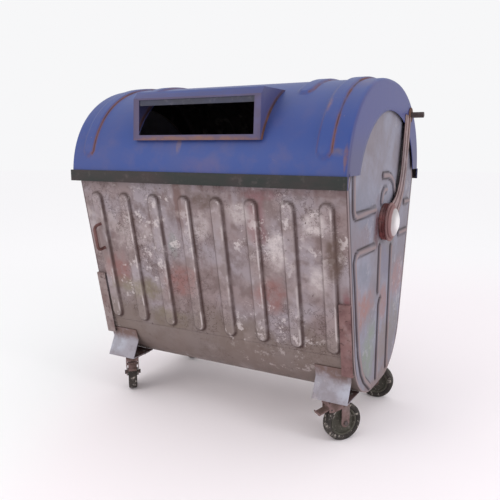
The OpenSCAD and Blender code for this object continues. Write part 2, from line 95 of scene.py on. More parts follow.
# %% A builder for finishes
class Finish:
    """A material whose layers are added one call at a time; each call returns an output socket."""

    def __init__(self, name, roughness=0.6, metallic=0.0, specular=0.4):
        self.material = bpy.data.materials.new(name)
        self.material.use_nodes = True
        self.tree = self.material.node_tree
        self.shader = self.tree.nodes["Principled BSDF"]
        self.shader.inputs["Roughness"].default_value = roughness
        self.shader.inputs["Metallic"].default_value = metallic
        self.shader.inputs["Specular IOR Level"].default_value = specular
        self.place = self.tree.nodes.new("ShaderNodeTexCoord").outputs["Object"]
        self.axes = None

    def put(self, socket, value):
        if isinstance(value, bpy.types.NodeSocket):
            self.tree.links.new(value, socket)
        elif value is not None:
            socket.default_value = value

    def math(self, operation, a, b=None, c=None, clamp=False):
        node = self.tree.nodes.new("ShaderNodeMath")
        node.operation = operation
        node.use_clamp = clamp
        for socket, value in zip(node.inputs, (a, b, c)):
            self.put(socket, value)
        return node.outputs[0]

    def vector(self, operation, a, b=None):
        node = self.tree.nodes.new("ShaderNodeVectorMath")
        node.operation = operation
        for socket, value in zip(node.inputs, (a, b)):
            self.put(socket, value)
        return node.outputs["Value" if operation in ("LENGTH", "DISTANCE") else "Vector"]

    def noise(self, scale, detail=4.0, stretch=(1, 1, 1), rough=0.55, shift=(0, 0, 0)):
        """Cloudy noise between 0 and 1, stretched along the axes and shifted to a fresh part."""
        where = self.vector("MULTIPLY", self.vector("ADD", self.place, shift), stretch)
        node = self.tree.nodes.new("ShaderNodeTexNoise")
        self.put(node.inputs["Vector"], where)
        node.inputs["Scale"].default_value = scale
        node.inputs["Detail"].default_value = detail
        node.inputs["Roughness"].default_value = rough
        return node.outputs["Fac"]

    def fade(self, value, low, high, start=0.0, end=1.0):
        """A smooth step from start to end while value goes from low to high."""
        node = self.tree.nodes.new("ShaderNodeMapRange")
        node.interpolation_type = "SMOOTHSTEP"
        self.put(node.inputs["Value"], value)
        for name, number in zip(("From Min", "From Max", "To Min", "To Max"), (low, high, start, end)):
            self.put(node.inputs[name], number)
        return node.outputs["Result"]

    def both(self, *masks):
        out = masks[0]
        for mask in masks[1:]:
            out = self.math("MULTIPLY", out, mask)
        return out

    def attribute(self, name):
        node = self.tree.nodes.new("ShaderNodeAttribute")
        node.attribute_name = name
        return node.outputs["Fac"]

    def axis(self, letter):
        if self.axes is None:
            self.axes = self.tree.nodes.new("ShaderNodeSeparateXYZ")
            self.put(self.axes.inputs[0], self.place)
        return self.axes.outputs[letter]

    def normal(self, letter):
        node = self.tree.nodes.new("ShaderNodeSeparateXYZ")
        self.put(node.inputs[0], self.tree.nodes.new("ShaderNodeNewGeometry").outputs["Normal"])
        return node.outputs[letter]

    def patch(self, centre, size, ragged=0.6, grain=9.0):
        """A ragged blot: 1 at its centre, 0 past its size along each axis."""
        away = self.vector("DIVIDE", self.vector("SUBTRACT", self.place, centre), size)
        tear = self.math("MULTIPLY", self.math("SUBTRACT", self.noise(grain, 5.0, shift=centre), 0.5), ragged * 3)
        blot = self.fade(self.math("ADD", self.vector("LENGTH", away), tear), 1.15, 0.45)
        return self.both(blot, self.fade(self.noise(grain * 3.5, 6.0, rough=0.65), 0.36, 0.58, 0.45, 1.0))

    def layer(self, under, mask, over, strength=1.0):
        """Lays a colour over another where the mask is 1."""
        node = self.tree.nodes.new("ShaderNodeMix")
        node.data_type = "RGBA"
        self.put(node.inputs["Factor"], self.math("MULTIPLY", mask, strength) if strength != 1.0 else mask)
        self.put(node.inputs["A"], under if isinstance(under, bpy.types.NodeSocket) else (*under, 1))
        self.put(node.inputs["B"], over if isinstance(over, bpy.types.NodeSocket) else (*over, 1))
        return node.outputs["Result"]

    def finish(self, colour, height=None, depth=0.001, strength=0.5, rough=None):
        self.put(self.shader.inputs["Base Color"], colour)
        if rough is not None:
            self.put(self.shader.inputs["Roughness"], rough)
        if height is not None:
            bump = self.tree.nodes.new("ShaderNodeBump")
            bump.inputs["Strength"].default_value = strength
            bump.inputs["Distance"].default_value = depth
            self.put(bump.inputs["Height"], height)
            self.put(self.shader.inputs["Normal"], bump.outputs["Normal"])
        return self.material


# Colours are linear and were judged under this light.
LAVENDER, PINK_GREY, BROWN_GREY = (0.295, 0.252, 0.275), (0.250, 0.190, 0.192), (0.140, 0.095, 0.090)
PALE, WHITE = (0.48, 0.415, 0.415), (0.62, 0.55, 0.55)
DARK_RUST, RED_BROWN, MAROON = (0.045, 0.02, 0.018), (0.235, 0.115, 0.108), (0.20, 0.065, 0.075)
OLIVE, MUD, BARK = (0.19, 0.155, 0.105), (0.165, 0.125, 0.108), (0.10, 0.062, 0.05)
SLATE, TEAL = (0.245, 0.24, 0.30), (0.25, 0.27, 0.24)

# %% [markdown]
# ### Stained zinc
# Hot-dip zinc goes dull and then brown where the sheet below starts to rust. Water draws the stains
# downwards, so the brown layers use noise that is stretched upright. The pressed ribs carry two
# attributes, edge and crest, that the mesh gets when it is made: a thin dark line at the foot of a rib is
# dirt and painted shade, and on the walls it is stronger and wider on each rib's right flank, which is painted
# shade. Along the crest a pale tint is a painted highlight over a wall rib's whole top, and rubbing bares the
# zinc along the turn of its crest.


# %% Stained zinc
def zinc(name, base=LAVENDER, second=PINK_GREY, scuffs=1.0, streaks=1.0, stains=(), marks=(), line=DARK_RUST,
         mud=MUD, mud_top=0.50, grime=0.62, crest=None, grip=0.45, ledge_shade=None):
    """Stains lie under the scuffs and marks lie over them; mud covers what is below mud_top. A crest colour
    covers the crests whole, grip is the least strength of the dark line at a foot, which is dirt and painted shade,
    and a ledge colour, painted shade, darkens level faces."""
    f = Finish(name, roughness=0.55, specular=0.3)
    colour = f.layer(base, f.fade(f.noise(3.4, 5.0), 0.40, 0.58), second)
    colour = f.layer(colour, f.fade(f.noise(17.0, 7.0, shift=(3, 1, 2), rough=0.62), 0.44, 0.64), BROWN_GREY, grime)
    runs = f.both(f.fade(f.noise(9.0, 6.0, stretch=(1.8, 1.8, 0.3), shift=(5, 2, 1)), 0.50, 0.64),
                  f.fade(f.noise(2.4, 3.0, shift=(1, 8, 4)), 0.42, 0.58))
    colour = f.layer(colour, runs, (0.15, 0.085, 0.078), 0.75 * streaks)
    for centre, size, stain, strength in stains:
        colour = f.layer(colour, f.patch(centre, size), stain, strength)
    low = f.fade(f.math("ADD", f.axis("Z"), f.math("MULTIPLY", f.noise(5.0, 5.0), 0.30)), mud_top + 0.17,
                 mud_top + 0.06)
    colour = f.layer(colour, low, mud, 0.8)
    cloudy = f.both(f.fade(f.noise(8.0, 7.0, shift=(6, 3, 3), rough=0.62), 0.50, 0.68),
                    f.fade(f.noise(2.6, 2.0, shift=(2, 4, 7)), 0.46, 0.58))
    colour = f.layer(colour, cloudy, PALE, 0.6 * scuffs)
    rubbed = f.both(f.fade(f.noise(20.0, 9.0, shift=(2, 7, 3), rough=0.72), 0.545, 0.60),
                    f.fade(f.noise(3.1, 3.0, shift=(4, 4, 9)), 0.46, 0.60))
    colour = f.layer(colour, rubbed, WHITE, 0.6 * scuffs)
    cracks = f.fade(f.math("ABSOLUTE", f.math("SUBTRACT", f.noise(24.0, 7.0, shift=(9, 1, 6), rough=0.7), 0.5)),
                    0.016, 0.003)
    colour = f.layer(colour, f.both(cracks, f.fade(f.noise(4.2, 3.0, shift=(4, 4, 9)), 0.46, 0.60)), DARK_RUST,
                     0.85 * scuffs)
    specks = f.fade(f.noise(48.0, 6.0, shift=(9, 9, 6), rough=0.7), 0.62, 0.66)
    colour = f.layer(colour, f.both(specks, f.fade(f.noise(5.0, 2.0), 0.47, 0.6)), DARK_RUST, 0.9 * scuffs)
    if crest:
        colour = f.layer(colour, f.attribute("crest"), crest, 0.75)
    else:
        worn = f.fade(f.noise(21.0, 7.0, stretch=(1, 1, 0.5), shift=(3, 3, 5)), 0.47, 0.58)
        # A pale tint where the crest attribute is: over a wall rib's whole top it is a painted highlight, and along
        # the turn of a crest it is rubbed zinc.
        colour = f.layer(colour, f.attribute("crest"), PALE, 0.32 * scuffs)
        colour = f.layer(colour, f.both(f.fade(f.attribute("crest"), 0.35, 0.8), worn), WHITE, 0.6 * scuffs)
    # A dark line at the foot of each rib: dirt and painted shade.
    rim = f.both(f.attribute("edge"), f.fade(f.noise(14.0, 5.0, shift=(6, 6, 6)), 0.25, 0.55, grip, 1.0))
    colour = f.layer(colour, rim, line)
    for centre, size, mark, strength in marks:
        colour = f.layer(colour, f.patch(centre, size, ragged=0.35), mark, strength)
    # Level faces get a dark brown: painted shade for a top plate that lies in shade.
    if ledge_shade:
        colour = f.layer(colour, f.fade(f.math("ABSOLUTE", f.normal("Z")), 0.6, 0.9), ledge_shade, 0.9)
    return f.finish(colour, f.math("ADD", f.noise(9.0, 6.0), f.math("MULTIPLY", rubbed, -0.25)), 0.004, 0.35,
                    rough=f.fade(rubbed, 0.0, 1.0, 0.60, 0.40))


front_stains = [
    ((-0.49, -0.38, 0.635), (0.085, 0.3, 0.085), RED_BROWN, 0.9),
    ((-0.15, -0.377, 0.62), (0.10, 0.3, 0.085), RED_BROWN, 0.9),
    ((0.275, -0.373, 0.605), (0.085, 0.3, 0.075), RED_BROWN, 0.9),
    ((0.265, -0.455, 1.005), (0.10, 0.2, 0.024), MAROON, 0.5),
    ((0.256, -0.432, 0.90), (0.045, 0.2, 0.13), (0.22, 0.11, 0.12), 0.7),
    ((0.02, -0.449, 0.975), (0.075, 0.2, 0.035), BARK, 0.75),
    ((-0.16, -0.406, 0.765), (0.035, 0.2, 0.065), (0.27, 0.27, 0.27), 0.85),
    ((-0.40, -0.364, 0.55), (0.15, 0.3, 0.055), OLIVE, 0.85),
    ((-0.25, -0.333, 0.42), (0.13, 0.3, 0.06), OLIVE, 0.8),
    ((0.33, -0.408, 0.78), (0.05, 0.3, 0.085), WHITE, 0.7),
    ((0.485, -0.435, 0.91), (0.06, 0.3, 0.055), WHITE, 0.7),
    ((0.18, -0.439, 0.93), (0.07, 0.3, 0.045), PALE, 0.8),
    ((0.488, -0.391, 0.69), (0.05, 0.3, 0.075), WHITE, 0.6),
    ((0.35, -0.455, 1.02), (0.5, 0.2, 0.016), (0.17, 0.10, 0.10), 0.5),
]
front_marks = [
    ((0.565, -0.415, 0.78), (0.042, 0.2, 0.10), BARK, 0.85),
    ((0.60, -0.37, 0.585), (0.022, 0.2, 0.09), MAROON, 0.8),
    ((-0.13, -0.43, 0.875), (0.05, 0.2, 0.04), (0.10, 0.065, 0.075), 0.35),
]
rear_stains = [
    ((-0.35, 0.38, 0.66), (0.12, 0.3, 0.09), RED_BROWN, 0.9),
    ((0.22, 0.37, 0.60), (0.10, 0.3, 0.08), RED_BROWN, 0.9),
    ((0.50, 0.43, 0.90), (0.09, 0.3, 0.08), PALE, 0.7),
    ((-0.10, 0.41, 0.80), (0.07, 0.3, 0.10), WHITE, 0.6),
    ((0.30, 0.34, 0.46), (0.16, 0.3, 0.06), OLIVE, 0.8),
    ((0.0, 0.455, 1.02), (0.8, 0.2, 0.022), (0.17, 0.105, 0.10), 0.6),
]
side_stains = [
    ((0, -0.24, 0.96), (2, 0.20, 0.12), (0.185, 0.185, 0.235), 0.8),
    ((0, -0.28, 0.83), (2, 0.13, 0.07), (0.20, 0.16, 0.185), 0.9),
    ((0, -0.24, 0.70), (2, 0.14, 0.06), (0.18, 0.185, 0.235), 0.8),
    ((0, -0.21, 0.57), (2, 0.15, 0.10), (0.275, 0.155, 0.150), 1.0),
    ((0, 0.04, 0.70), (2, 0.08, 0.10), (0.175, 0.165, 0.23), 0.7),
    ((0, 0.03, 0.52), (2, 0.07, 0.09), (0.27, 0.16, 0.16), 0.8),
    ((0, 0.26, 0.60), (2, 0.13, 0.12), (0.28, 0.165, 0.17), 0.8),
    ((0, -0.14, 0.36), (2, 0.11, 0.15), (0.20, 0.225, 0.195), 0.95),
    ((0, 0.06, 0.34), (2, 0.10, 0.12), (0.22, 0.175, 0.17), 0.8),
    ((0, 0.22, 0.40), (2, 0.10, 0.14), (0.20, 0.18, 0.175), 0.8),
    ((0, 0.14, 0.87), (2, 0.13, 0.14), (0.185, 0.165, 0.175), 0.8),
    ((0, -0.09, 0.87), (2, 0.06, 0.10), (0.10, 0.04, 0.045), 0.95),
    ((0, 0.0, 0.18), (2, 0.35, 0.05), (0.19, 0.12, 0.10), 0.7),
]
zinc_front = zinc("zinc_front", stains=front_stains, marks=front_marks)
zinc_rear = zinc("zinc_rear", stains=rear_stains)
zinc_side = zinc("zinc_side", base=SLATE, second=(0.205, 0.185, 0.22), scuffs=0.10, streaks=0.15, stains=side_stains,
                 line=(0.018, 0.006, 0.008), mud=(0.20, 0.165, 0.15), mud_top=0.05, grime=0.18,
                 crest=(0.25, 0.175, 0.172), grip=0.9)
zinc_trough = zinc("zinc_trough", scuffs=0.5)
bare = (0.42, 0.43, 0.50)
# The bracket's level faces are darkened as painted shade.
zinc_bracket = zinc("zinc_bracket", base=bare, second=(0.32, 0.30, 0.34), scuffs=0.8, streaks=0.2, mud=bare,
                    mud_top=0.0, grime=0.35, ledge_shade=(0.09, 0.045, 0.04), marks=[
                        ((0.0, 0.0, 0.345), (9, 9, 0.078), (0.165, 0.105, 0.095), 1.0),
                        ((0.0, 0.0, 0.350), (9, 9, 0.074), (0.150, 0.095, 0.085), 1.0),
                        ((0.0, 0.0, 0.19), (9, 0.34, 0.02), (0.10, 0.05, 0.045), 0.9)])


# %% [markdown]
# ### Rusted steel
# Small fittings were never painted, or have lost it all. Rust is rough, so these finishes have no shine.


# %% Rusted steel
def rusted(name, base, second, speck=DARK_RUST, grain=22.0, roughness=0.8, metallic=0.0):
    f = Finish(name, roughness=roughness, metallic=metallic, specular=0.25)
    colour = f.layer(base, f.fade(f.noise(grain, 6.0), 0.38, 0.64), second, 0.9)
    colour = f.layer(colour, f.fade(f.noise(grain * 4, 6.0, shift=(2, 3, 4), rough=0.7), 0.55, 0.68), speck, 0.7)
    colour = f.layer(colour, f.fade(f.noise(grain * 0.6, 5.0, shift=(7, 7, 1)), 0.55, 0.72), PALE, 0.22)
    return f.finish(colour, f.noise(grain * 3, 6.0), 0.0015, 0.5)


rust_drum = rusted("rust_drum", (0.18, 0.052, 0.05), (0.085, 0.03, 0.03))
rust_rail = rusted("rust_rail", (0.10, 0.065, 0.06), (0.055, 0.03, 0.03))
guard_right = rusted("guard_right", (0.21, 0.118, 0.115), (0.135, 0.07, 0.07), grain=16.0)
guard_left = rusted("guard_left", (0.27, 0.215, 0.21), (0.18, 0.12, 0.115), grain=16.0)
rust_fork = rusted("rust_fork", (0.215, 0.14, 0.135), (0.12, 0.08, 0.07), grain=26.0)
rust_handle = rusted("rust_handle", (0.17, 0.085, 0.08), (0.10, 0.045, 0.04))
# Near black for the inside of the lid: painted shade.
inside_shade = rusted("inside_shade", (0.022, 0.014, 0.016), (0.012, 0.008, 0.009))
dark_pin = rusted("dark_pin", (0.10, 0.08, 0.078), (0.065, 0.048, 0.045), grain=30.0)
brown_plate = rusted("brown_plate", (0.15, 0.075, 0.05), (0.08, 0.038, 0.03), grain=30.0)
bush_plastic = rusted("bush_plastic", (0.60, 0.57, 0.50), (0.45, 0.42, 0.36), roughness=0.5)


# %% Domed caps
def cap_finish():
    """Bright in the middle of the dome, which is a painted highlight, then grey and rusty towards its rim."""
    f = Finish("zinc_cap_finish", roughness=0.3, metallic=0.9)
    # A pale middle that goes grey away from the axis: painted highlight.
    colour = f.layer((0.92, 0.88, 0.89), f.fade(f.noise(14.0, 5.0), 0.42, 0.62), (0.76, 0.71, 0.72), 0.8)
    off_axis = f.vector("LENGTH", f.vector("MULTIPLY", f.vector("SUBTRACT", f.place, (0, 0, pivot_z)), (0, 1, 1)))
    colour = f.layer(colour, f.fade(off_axis, 0.018, 0.052), (0.36, 0.32, 0.33), 0.8)
    rim = f.fade(f.math("ADD", off_axis, f.math("MULTIPLY", f.noise(20.0, 4.0), 0.01)), 0.058, 0.066)
    colour = f.layer(colour, rim, (0.27, 0.135, 0.13), 0.85)
    return f.finish(colour, f.noise(40.0, 5.0), 0.001, 0.3, rough=f.fade(rim, 0.0, 1.0, 0.28, 0.75))


zinc_cap = cap_finish()

# %% [markdown]
# ### Faded blue paint
# Faces that point sideways get a greyer blue that darkens towards their foot, and faces that point up get a
# lighter blue, which is a painted highlight of the lid's top. Rust creeps out from under the paint along the
# shoulders of the beads and in a few chipped patches.


# %% Faded blue paint
def above_dome(f):
    """0 on the dome's curve and more above it."""
    across = f.math("POWER", f.math("ABSOLUTE", f.math("DIVIDE", f.axis("Y"), lid_depth)), squareness)
    up = f.math("POWER", f.math("DIVIDE", f.math("SUBTRACT", f.axis("Z"), rim_z), lid_rise), squareness)
    return f.math("SUBTRACT", f.math("ADD", across, up), 1.0)


def blue_paint(name, base=(0.028, 0.060, 0.235), cloud=(0.045, 0.066, 0.218), side_tone=(0.068, 0.068, 0.190), blots=(),
               seam=False):
    """Rust follows the shoulders of the beads or, with seam, the joint with the dome."""
    f = Finish(name, roughness=0.45, specular=0.3)
    colour = f.layer(base, f.fade(f.noise(3.2, 4.0), 0.38, 0.62), cloud, 0.8)
    colour = f.layer(colour, f.fade(f.noise(12.0, 6.0, shift=(3, 3, 8)), 0.44, 0.70), (0.080, 0.078, 0.200), 0.5)
    side = f.fade(f.math("ABSOLUTE", f.normal("X")), 0.35, 0.9)
    colour = f.layer(colour, side, side_tone, 0.85)
    low = f.both(side, f.fade(f.axis("Z"), 1.28, 1.12))
    colour = f.layer(colour, low, (0.080, 0.075, 0.145), 0.7)
    # Faces that point up get a lighter blue: painted highlight.
    colour = f.layer(colour, f.fade(f.normal("Z"), 0.30, 0.9), (0.060, 0.088, 0.260), 0.7)
    for centre, size, blot_colour, strength in blots:
        colour = f.layer(colour, f.patch(centre, size), blot_colour, strength)
    chips = f.fade(f.noise(46.0, 7.0, shift=(1, 5, 9), rough=0.7), 0.665, 0.70)
    colour = f.layer(colour, f.both(chips, f.fade(f.noise(3.0, 2.0, shift=(8, 8, 8)), 0.45, 0.6)),
                     (0.26, 0.19, 0.20), 0.7)
    edge = f.both(f.fade(above_dome(f), 0.10, 0.04), side) if seam else f.attribute("edge")
    creep = f.both(edge, f.fade(f.noise(9.0, 6.0, shift=(5, 1, 5)), 0.36, 0.56, 0.30, 1.0))
    colour = f.layer(colour, creep, (0.20, 0.08, 0.045))
    thin = f.both(f.fade(edge, 0.5, 0.95), f.fade(f.noise(16.0, 4.0), 0.38, 0.6, 0.35, 1.0))
    colour = f.layer(colour, thin, (0.04, 0.018, 0.02), 0.75)
    return f.finish(colour, f.math("ADD", f.noise(28.0, 6.0), f.math("MULTIPLY", creep, 0.6)), 0.0012, 0.3,
                    rough=f.fade(creep, 0.0, 1.0, 0.45, 0.85))


lid_blots = [
    ((0.518, -0.47, 1.335), (0.014, 0.1, 0.034), (0.27, 0.14, 0.12), 0.85),
    ((0.585, -0.48, 1.165), (0.026, 0.1, 0.018), (0.15, 0.105, 0.12), 0.5),
    ((0.618, -0.48, 1.14), (0.008, 0.1, 0.06), (0.19, 0.085, 0.055), 0.6),
    ((-0.075, -0.49, 1.185), (0.012, 0.1, 0.030), (0.15, 0.11, 0.16), 0.7),
    ((0.05, -0.49, 1.10), (0.12, 0.1, 0.05), (0.085, 0.075, 0.20), 0.5),
    ((0.60, -0.30, 1.43), (0.05, 0.12, 0.04), (0.11, 0.09, 0.20), 0.6),
]
lid_paint = blue_paint("blue_lid", blots=lid_blots)
hood_blots = [
    ((0.0, -0.50, 1.205), (0.40, 0.05, 0.020), (0.19, 0.095, 0.075), 0.9),
    ((0.0, -0.45, 1.398), (0.34, 0.12, 0.012), (0.055, 0.080, 0.235), 0.9),
]
hood_paint = blue_paint("blue_hood", base=(0.078, 0.060, 0.120), cloud=(0.070, 0.058, 0.118),
                        side_tone=(0.062, 0.064, 0.165), blots=hood_blots, seam=True)


# %% Dark edge bands, rubber and dusty wheel discs
def grimy(name, base, second, dust, roughness=0.7, grain=18.0, amount=0.5):
    f = Finish(name, roughness=roughness, specular=0.3)
    colour = f.layer(base, f.fade(f.noise(grain, 6.0, stretch=(0.5, 1, 1)), 0.38, 0.66), second, 0.85)
    colour = f.layer(colour, f.fade(f.noise(grain * 2.6, 7.0, shift=(4, 2, 2), rough=0.7), 0.54, 0.68), dust, amount)
    return f.finish(colour, f.noise(grain * 3, 5.0), 0.001, 0.4)


band_paint = grimy("band_paint_finish", (0.024, 0.028, 0.026), (0.048, 0.033, 0.034), (0.10, 0.08, 0.08), grain=9.0)
# The slot lip is near black: painted shade.
lip_shade_dark = grimy("lip_shade_dark", (0.045, 0.047, 0.075), (0.045, 0.045, 0.06), (0.14, 0.13, 0.15), amount=0.3)
tyre_rubber = grimy("tyre_rubber_finish", (0.03, 0.026, 0.024), (0.055, 0.047, 0.042), (0.46, 0.41, 0.37), 0.85, 22.0,
                    0.9)
disc_paint = grimy("disc_finish", (0.075, 0.07, 0.055), (0.05, 0.045, 0.036), (0.34, 0.30, 0.28), 0.7, 30.0, 0.5)
print("finishes made:", len(bpy.data.materials))

# %% [markdown]
# ## Pressed sheet
# Ribs and beads are pressed into flat sheet by a die, so their shoulders are round. The same can be done
# to a mesh: start from a fine grid, push its points outwards by a height that depends on how far they are
# from the middle line of a rib, and give the sheet its thickness last. The height has a flat crest and
# smooth shoulders. The distance to the rib also writes the edge and crest attributes for the finishes.


# %% Tools for pressed sheet
def smooth(low, high, value):
    t = min(1.0, max(0.0, (value - low) / (high - low)))
    return t * t * (3 - 2 * t)


def rib_profile(away, half_width, shoulder, line=0.34):
    """(height from 0 to 1, edge, crest) at a distance from the middle of a rib."""
    height = 1 - smooth(half_width - shoulder, half_width, away)
    edge = math.exp(-((away - half_width + shoulder * 0.30) / (shoulder * line)) ** 2)
    crest = math.exp(-((away - half_width + shoulder * 1.15) / (shoulder * 0.40)) ** 2)
    return height, edge, crest


def sheet_piece(name, bm, finish, body, stands_for, thickness, outward, inside=None):
    """Turns a grid into a piece of sheet: outward says, for a point, which way its normal goes. The face
    away from it can have a finish of its own."""
    bm.normal_update()
    middle = bm.faces[:][len(bm.faces) // 2]
    if middle.normal.dot(outward(middle.calc_center_median())) < 0:
        bmesh.ops.reverse_faces(bm, faces=bm.faces[:])
    piece = as_piece(name, bm, finish, body, stands_for, 60)
    wall = piece.modifiers.new("thickness", "SOLIDIFY")
    wall.thickness = thickness
    wall.offset = -1
    if inside:
        piece.data.materials.append(inside)
        wall.material_offset = 1
    return piece


def as_piece(name, bm, finish, body, stands_for=(), sharp=35):
    mesh = bpy.data.meshes.new(name)
    bm.to_mesh(mesh)
    bm.free()
    for stale in ("custom_normal", "sharp_face", "sharp_edge"):
        if stale in mesh.attributes:
            mesh.attributes.remove(mesh.attributes[stale])
    mesh.materials.clear()
    mesh.materials.append(finish)
    mesh.polygons.foreach_set("material_index", [0] * len(mesh.polygons))
    mesh.polygons.foreach_set("use_smooth", [True] * len(mesh.polygons))
    mesh.set_sharp_from_angle(angle=math.radians(sharp))
    piece = bpy.data.objects.new(name, mesh)
    bpy.context.scene.collection.objects.link(piece)
    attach(piece, body)
    if stands_for:
        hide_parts(*stands_for)
    return piece


def grid(columns, rows):
    """A flat grid and a function that gives a point's column and row."""
    bm = bmesh.new()
    bmesh.ops.create_grid(bm, x_segments=columns, y_segments=rows, size=1)
    edge = bm.verts.layers.float.new("edge")
    crest = bm.verts.layers.float.new("crest")
    return bm, edge, crest


# %% [markdown]
# ### The ribbed walls
# Each wall leans outwards and has a row of upright ribs. The wall is a grid on the slope between the trough
# and the rim, and its ribs are capsules: round-ended bars measured along the slope.

# %% Ribbed walls
body_half = 616 * mm
wall_angle = math.atan((461 - 338) / (1036 - 430))
trough_radius = 262 * mm
trough_height = 430 * mm
trough_offset = (461 - (262 + (1036 - 430) * math.sin(wall_angle)) / math.cos(wall_angle)) * mm
tangent_y = trough_offset + trough_radius * math.cos(wall_angle)
tangent_z = trough_height - trough_radius * math.sin(wall_angle)
rim_y = 461 * mm
wall_length = math.hypot(rim_y - tangent_y, rim_z - tangent_z)
rib_pitch = 154 * mm
rib_half = 31 * mm
rib_height = 12 * mm
rib_low, rib_high = 43 * mm, 593 * mm


# The dark line at a rib's foot is full and wider on the rib's right flank, where shade falls from the lamp on the
# left: painted shade. This share of it is kept on the left flank.
lit_flank_line_share = 0.7


def ribbed_wall(name, side, finish):
    bm, edge, crest = grid(228, 104)
    for v in bm.verts:
        x = v.co.x * body_half
        up = (v.co.y + 1) / 2 * wall_length
        across = ((x / rib_pitch) % 1.0 - 0.5) * rib_pitch
        past = max(0.0, rib_low - up, up - rib_high)
        # 1 on a rib's right flank and 0 on its left: it makes the foot line on the right a painted shade.
        shaded_flank = smooth(-20 * mm, 20 * mm, across)
        height, v[edge], v[crest] = rib_profile(math.hypot(across, past), rib_half, 11 * mm, 0.34 + 0.22 * shaded_flank)
        v[edge] = max(v[edge] * (lit_flank_line_share + (1 - lit_flank_line_share) * shaded_flank), smooth(body_half - 5 * mm, body_half, abs(x)))
        # The whole top of a rib gets 0.35 of the crest tint, a painted highlight; the worn line at the crest's turn
        # is kept on the right flank only.
        v[crest] = max(v[crest] * shaded_flank, 0.35 * height)
        out = height * rib_height * 0.97
        y = tangent_y + out * math.cos(wall_angle) + up * math.sin(wall_angle)
        v.co = (x, side * y, tangent_z - out * math.sin(wall_angle) + up * math.cos(wall_angle))
    return sheet_piece(name, bm, finish, "container", [name.replace("_sheet", "")], 2 * mm,
                       lambda p: Vector((0, side, 0)))


ribbed_wall("front_wall_sheet", -1, zinc_front)
ribbed_wall("rear_wall_sheet", 1, zinc_rear)
print("walls lean", round(math.degrees(wall_angle), 2), "degrees; slope length", round(wall_length, 4))

# %% [markdown]
# ### The side panels
# A side panel follows the trough, the two leaning walls and, above the rim, an ear whose edge is an arc
# about the pivot. A square grid is squeezed to that outline row by row. Its beads follow bent lines, so the
# height of a point comes from its distance to the nearest stretch of line.

# %% Side panels
ear_radius = math.hypot(rim_y, rim_z - pivot_z)
bead_lines = [
    [(-404, 1110), (-396, 1010), (-390, 958), (-380, 940), (-360, 932), (-127, 939)],
    [(-120, 788), (-320, 792), (-348, 784), (-361, 760), (-335, 656), (-300, 491), (-272, 381),
     (-232, 298), (-190, 250), (-112, 193)],
    [(-34, 1069), (40, 1068), (85, 1058), (122, 1035), (140, 1000), (151, 956)],
    [(-46, 964), (-38, 992), (-14, 1010), (19, 1010)],
    [(-45, 776), (-45, 593)],
    [(-2, 546), (-16, 541), (-25, 526), (-25, 208)],
    [(125, 756), (125, 212)],
    [(318, 937), (392, 937)],
    [(245, 800), (372, 800)],
]
bead_parts = [(Vector(a) * mm, Vector(b) * mm) for line in bead_lines for a, b in zip(line, line[1:])]
bead_half = 15 * mm
bead_height = 7 * mm


def outline_half(z):
    """Half width of a side panel at a height."""
    if z < tangent_z:
        return trough_offset + math.sqrt(max(0.0, trough_radius ** 2 - (trough_height - z) ** 2))
    if z <= rim_z:
        return rim_y - (rim_z - z) * math.tan(wall_angle)
    return math.sqrt(max(0.0, ear_radius ** 2 - (z - pivot_z) ** 2))


def distance_to_beads(y, z):
    here = Vector((y, z))
    best = 1.0
    for a, b in bead_parts:
        along = b - a
        t = min(1.0, max(0.0, (here - a).dot(along) / along.length_squared))
        best = min(best, (here - a - along * t).length)
    return best


def side_panel(name, side):
    bm, edge, crest = grid(240, 200)
    bottom, top = 168 * mm, pivot_z + ear_radius - 0.2 * mm
    for v in bm.verts:
        share = (v.co.y + 1) / 2
        share = 0.5 * share + 0.25 * (1 - math.cos(math.pi * share))
        z = bottom + (top - bottom) * share
        y = v.co.x * outline_half(z)
        away = distance_to_beads(y, z)
        height, _, _ = rib_profile(away, bead_half, 8 * mm)
        inside = outline_half(z) - abs(y)
        flange = math.exp(-((inside - 16 * mm) / (3.5 * mm)) ** 2) * smooth(0.25, 0.32, z)
        v[edge] = max(math.exp(-((away - bead_half + 1 * mm) / (4.4 * mm)) ** 2), flange)
        v[crest] = max(1 - smooth(6 * mm, 11 * mm, away), 1 - smooth(9 * mm, 14 * mm, inside))
        v.co = (side * (618 * mm + height * bead_height * 0.97), y, z)
    return sheet_piece(name, bm, zinc_side, "container", [name.replace("_sheet", "")], 2 * mm,
                       lambda p: Vector((side, 0, 0)))


side_panel("side_panel_left_sheet", -1)
side_panel("side_panel_right_sheet", 1)

# %% [markdown]
# ### The dome lid
# The lid is one pressed shell: a dome with eight raised beads that turns round a soft corner into a flat
# cheek on each side. One grid makes it all. Its rows go over the dome from front to back, and its columns
# go up one cheek, round the corner, across the dome and down the other cheek. Planes then cut the foot of
# the cheeks and the hole behind the paper slot.

# %% Dome lid
lid_half = 632 * mm
corner_radius = 14 * mm
lid_bead_half, lid_bead_height = 32 * mm, 9 * mm
arch_rise = 292 * mm
rows_over = 118


def dome_point(turn, inset):
    """(y, z) on the lid's curve at a turn from -90 to 90 degrees, inside it by an inset."""
    s, c, power = math.sin(turn), max(0.0, math.cos(turn)), 2 / squareness
    return Vector((math.copysign(abs(s) ** power, s) * (lid_depth - inset), rim_z + c ** power * (lid_rise - inset)))


def arch_point(turn):
    """(y, z) on the arch cut in a cheek."""
    s, c = math.sin(turn), max(0.0, math.cos(turn))
    depth, power = (375 * mm, 2 / 1.85) if s < 0 else (405 * mm, 2 / 2.1)
    return Vector((math.copysign(abs(s) ** power, s) * depth, rim_z + c ** power * arch_rise))


turns = [math.pi * (row / rows_over - 0.5) for row in range(rows_over + 1)]
lengths = [0.0]
for a, b in zip(turns, turns[1:]):
    lengths.append(lengths[-1] + (dome_point(b, 0) - dome_point(a, 0)).length)


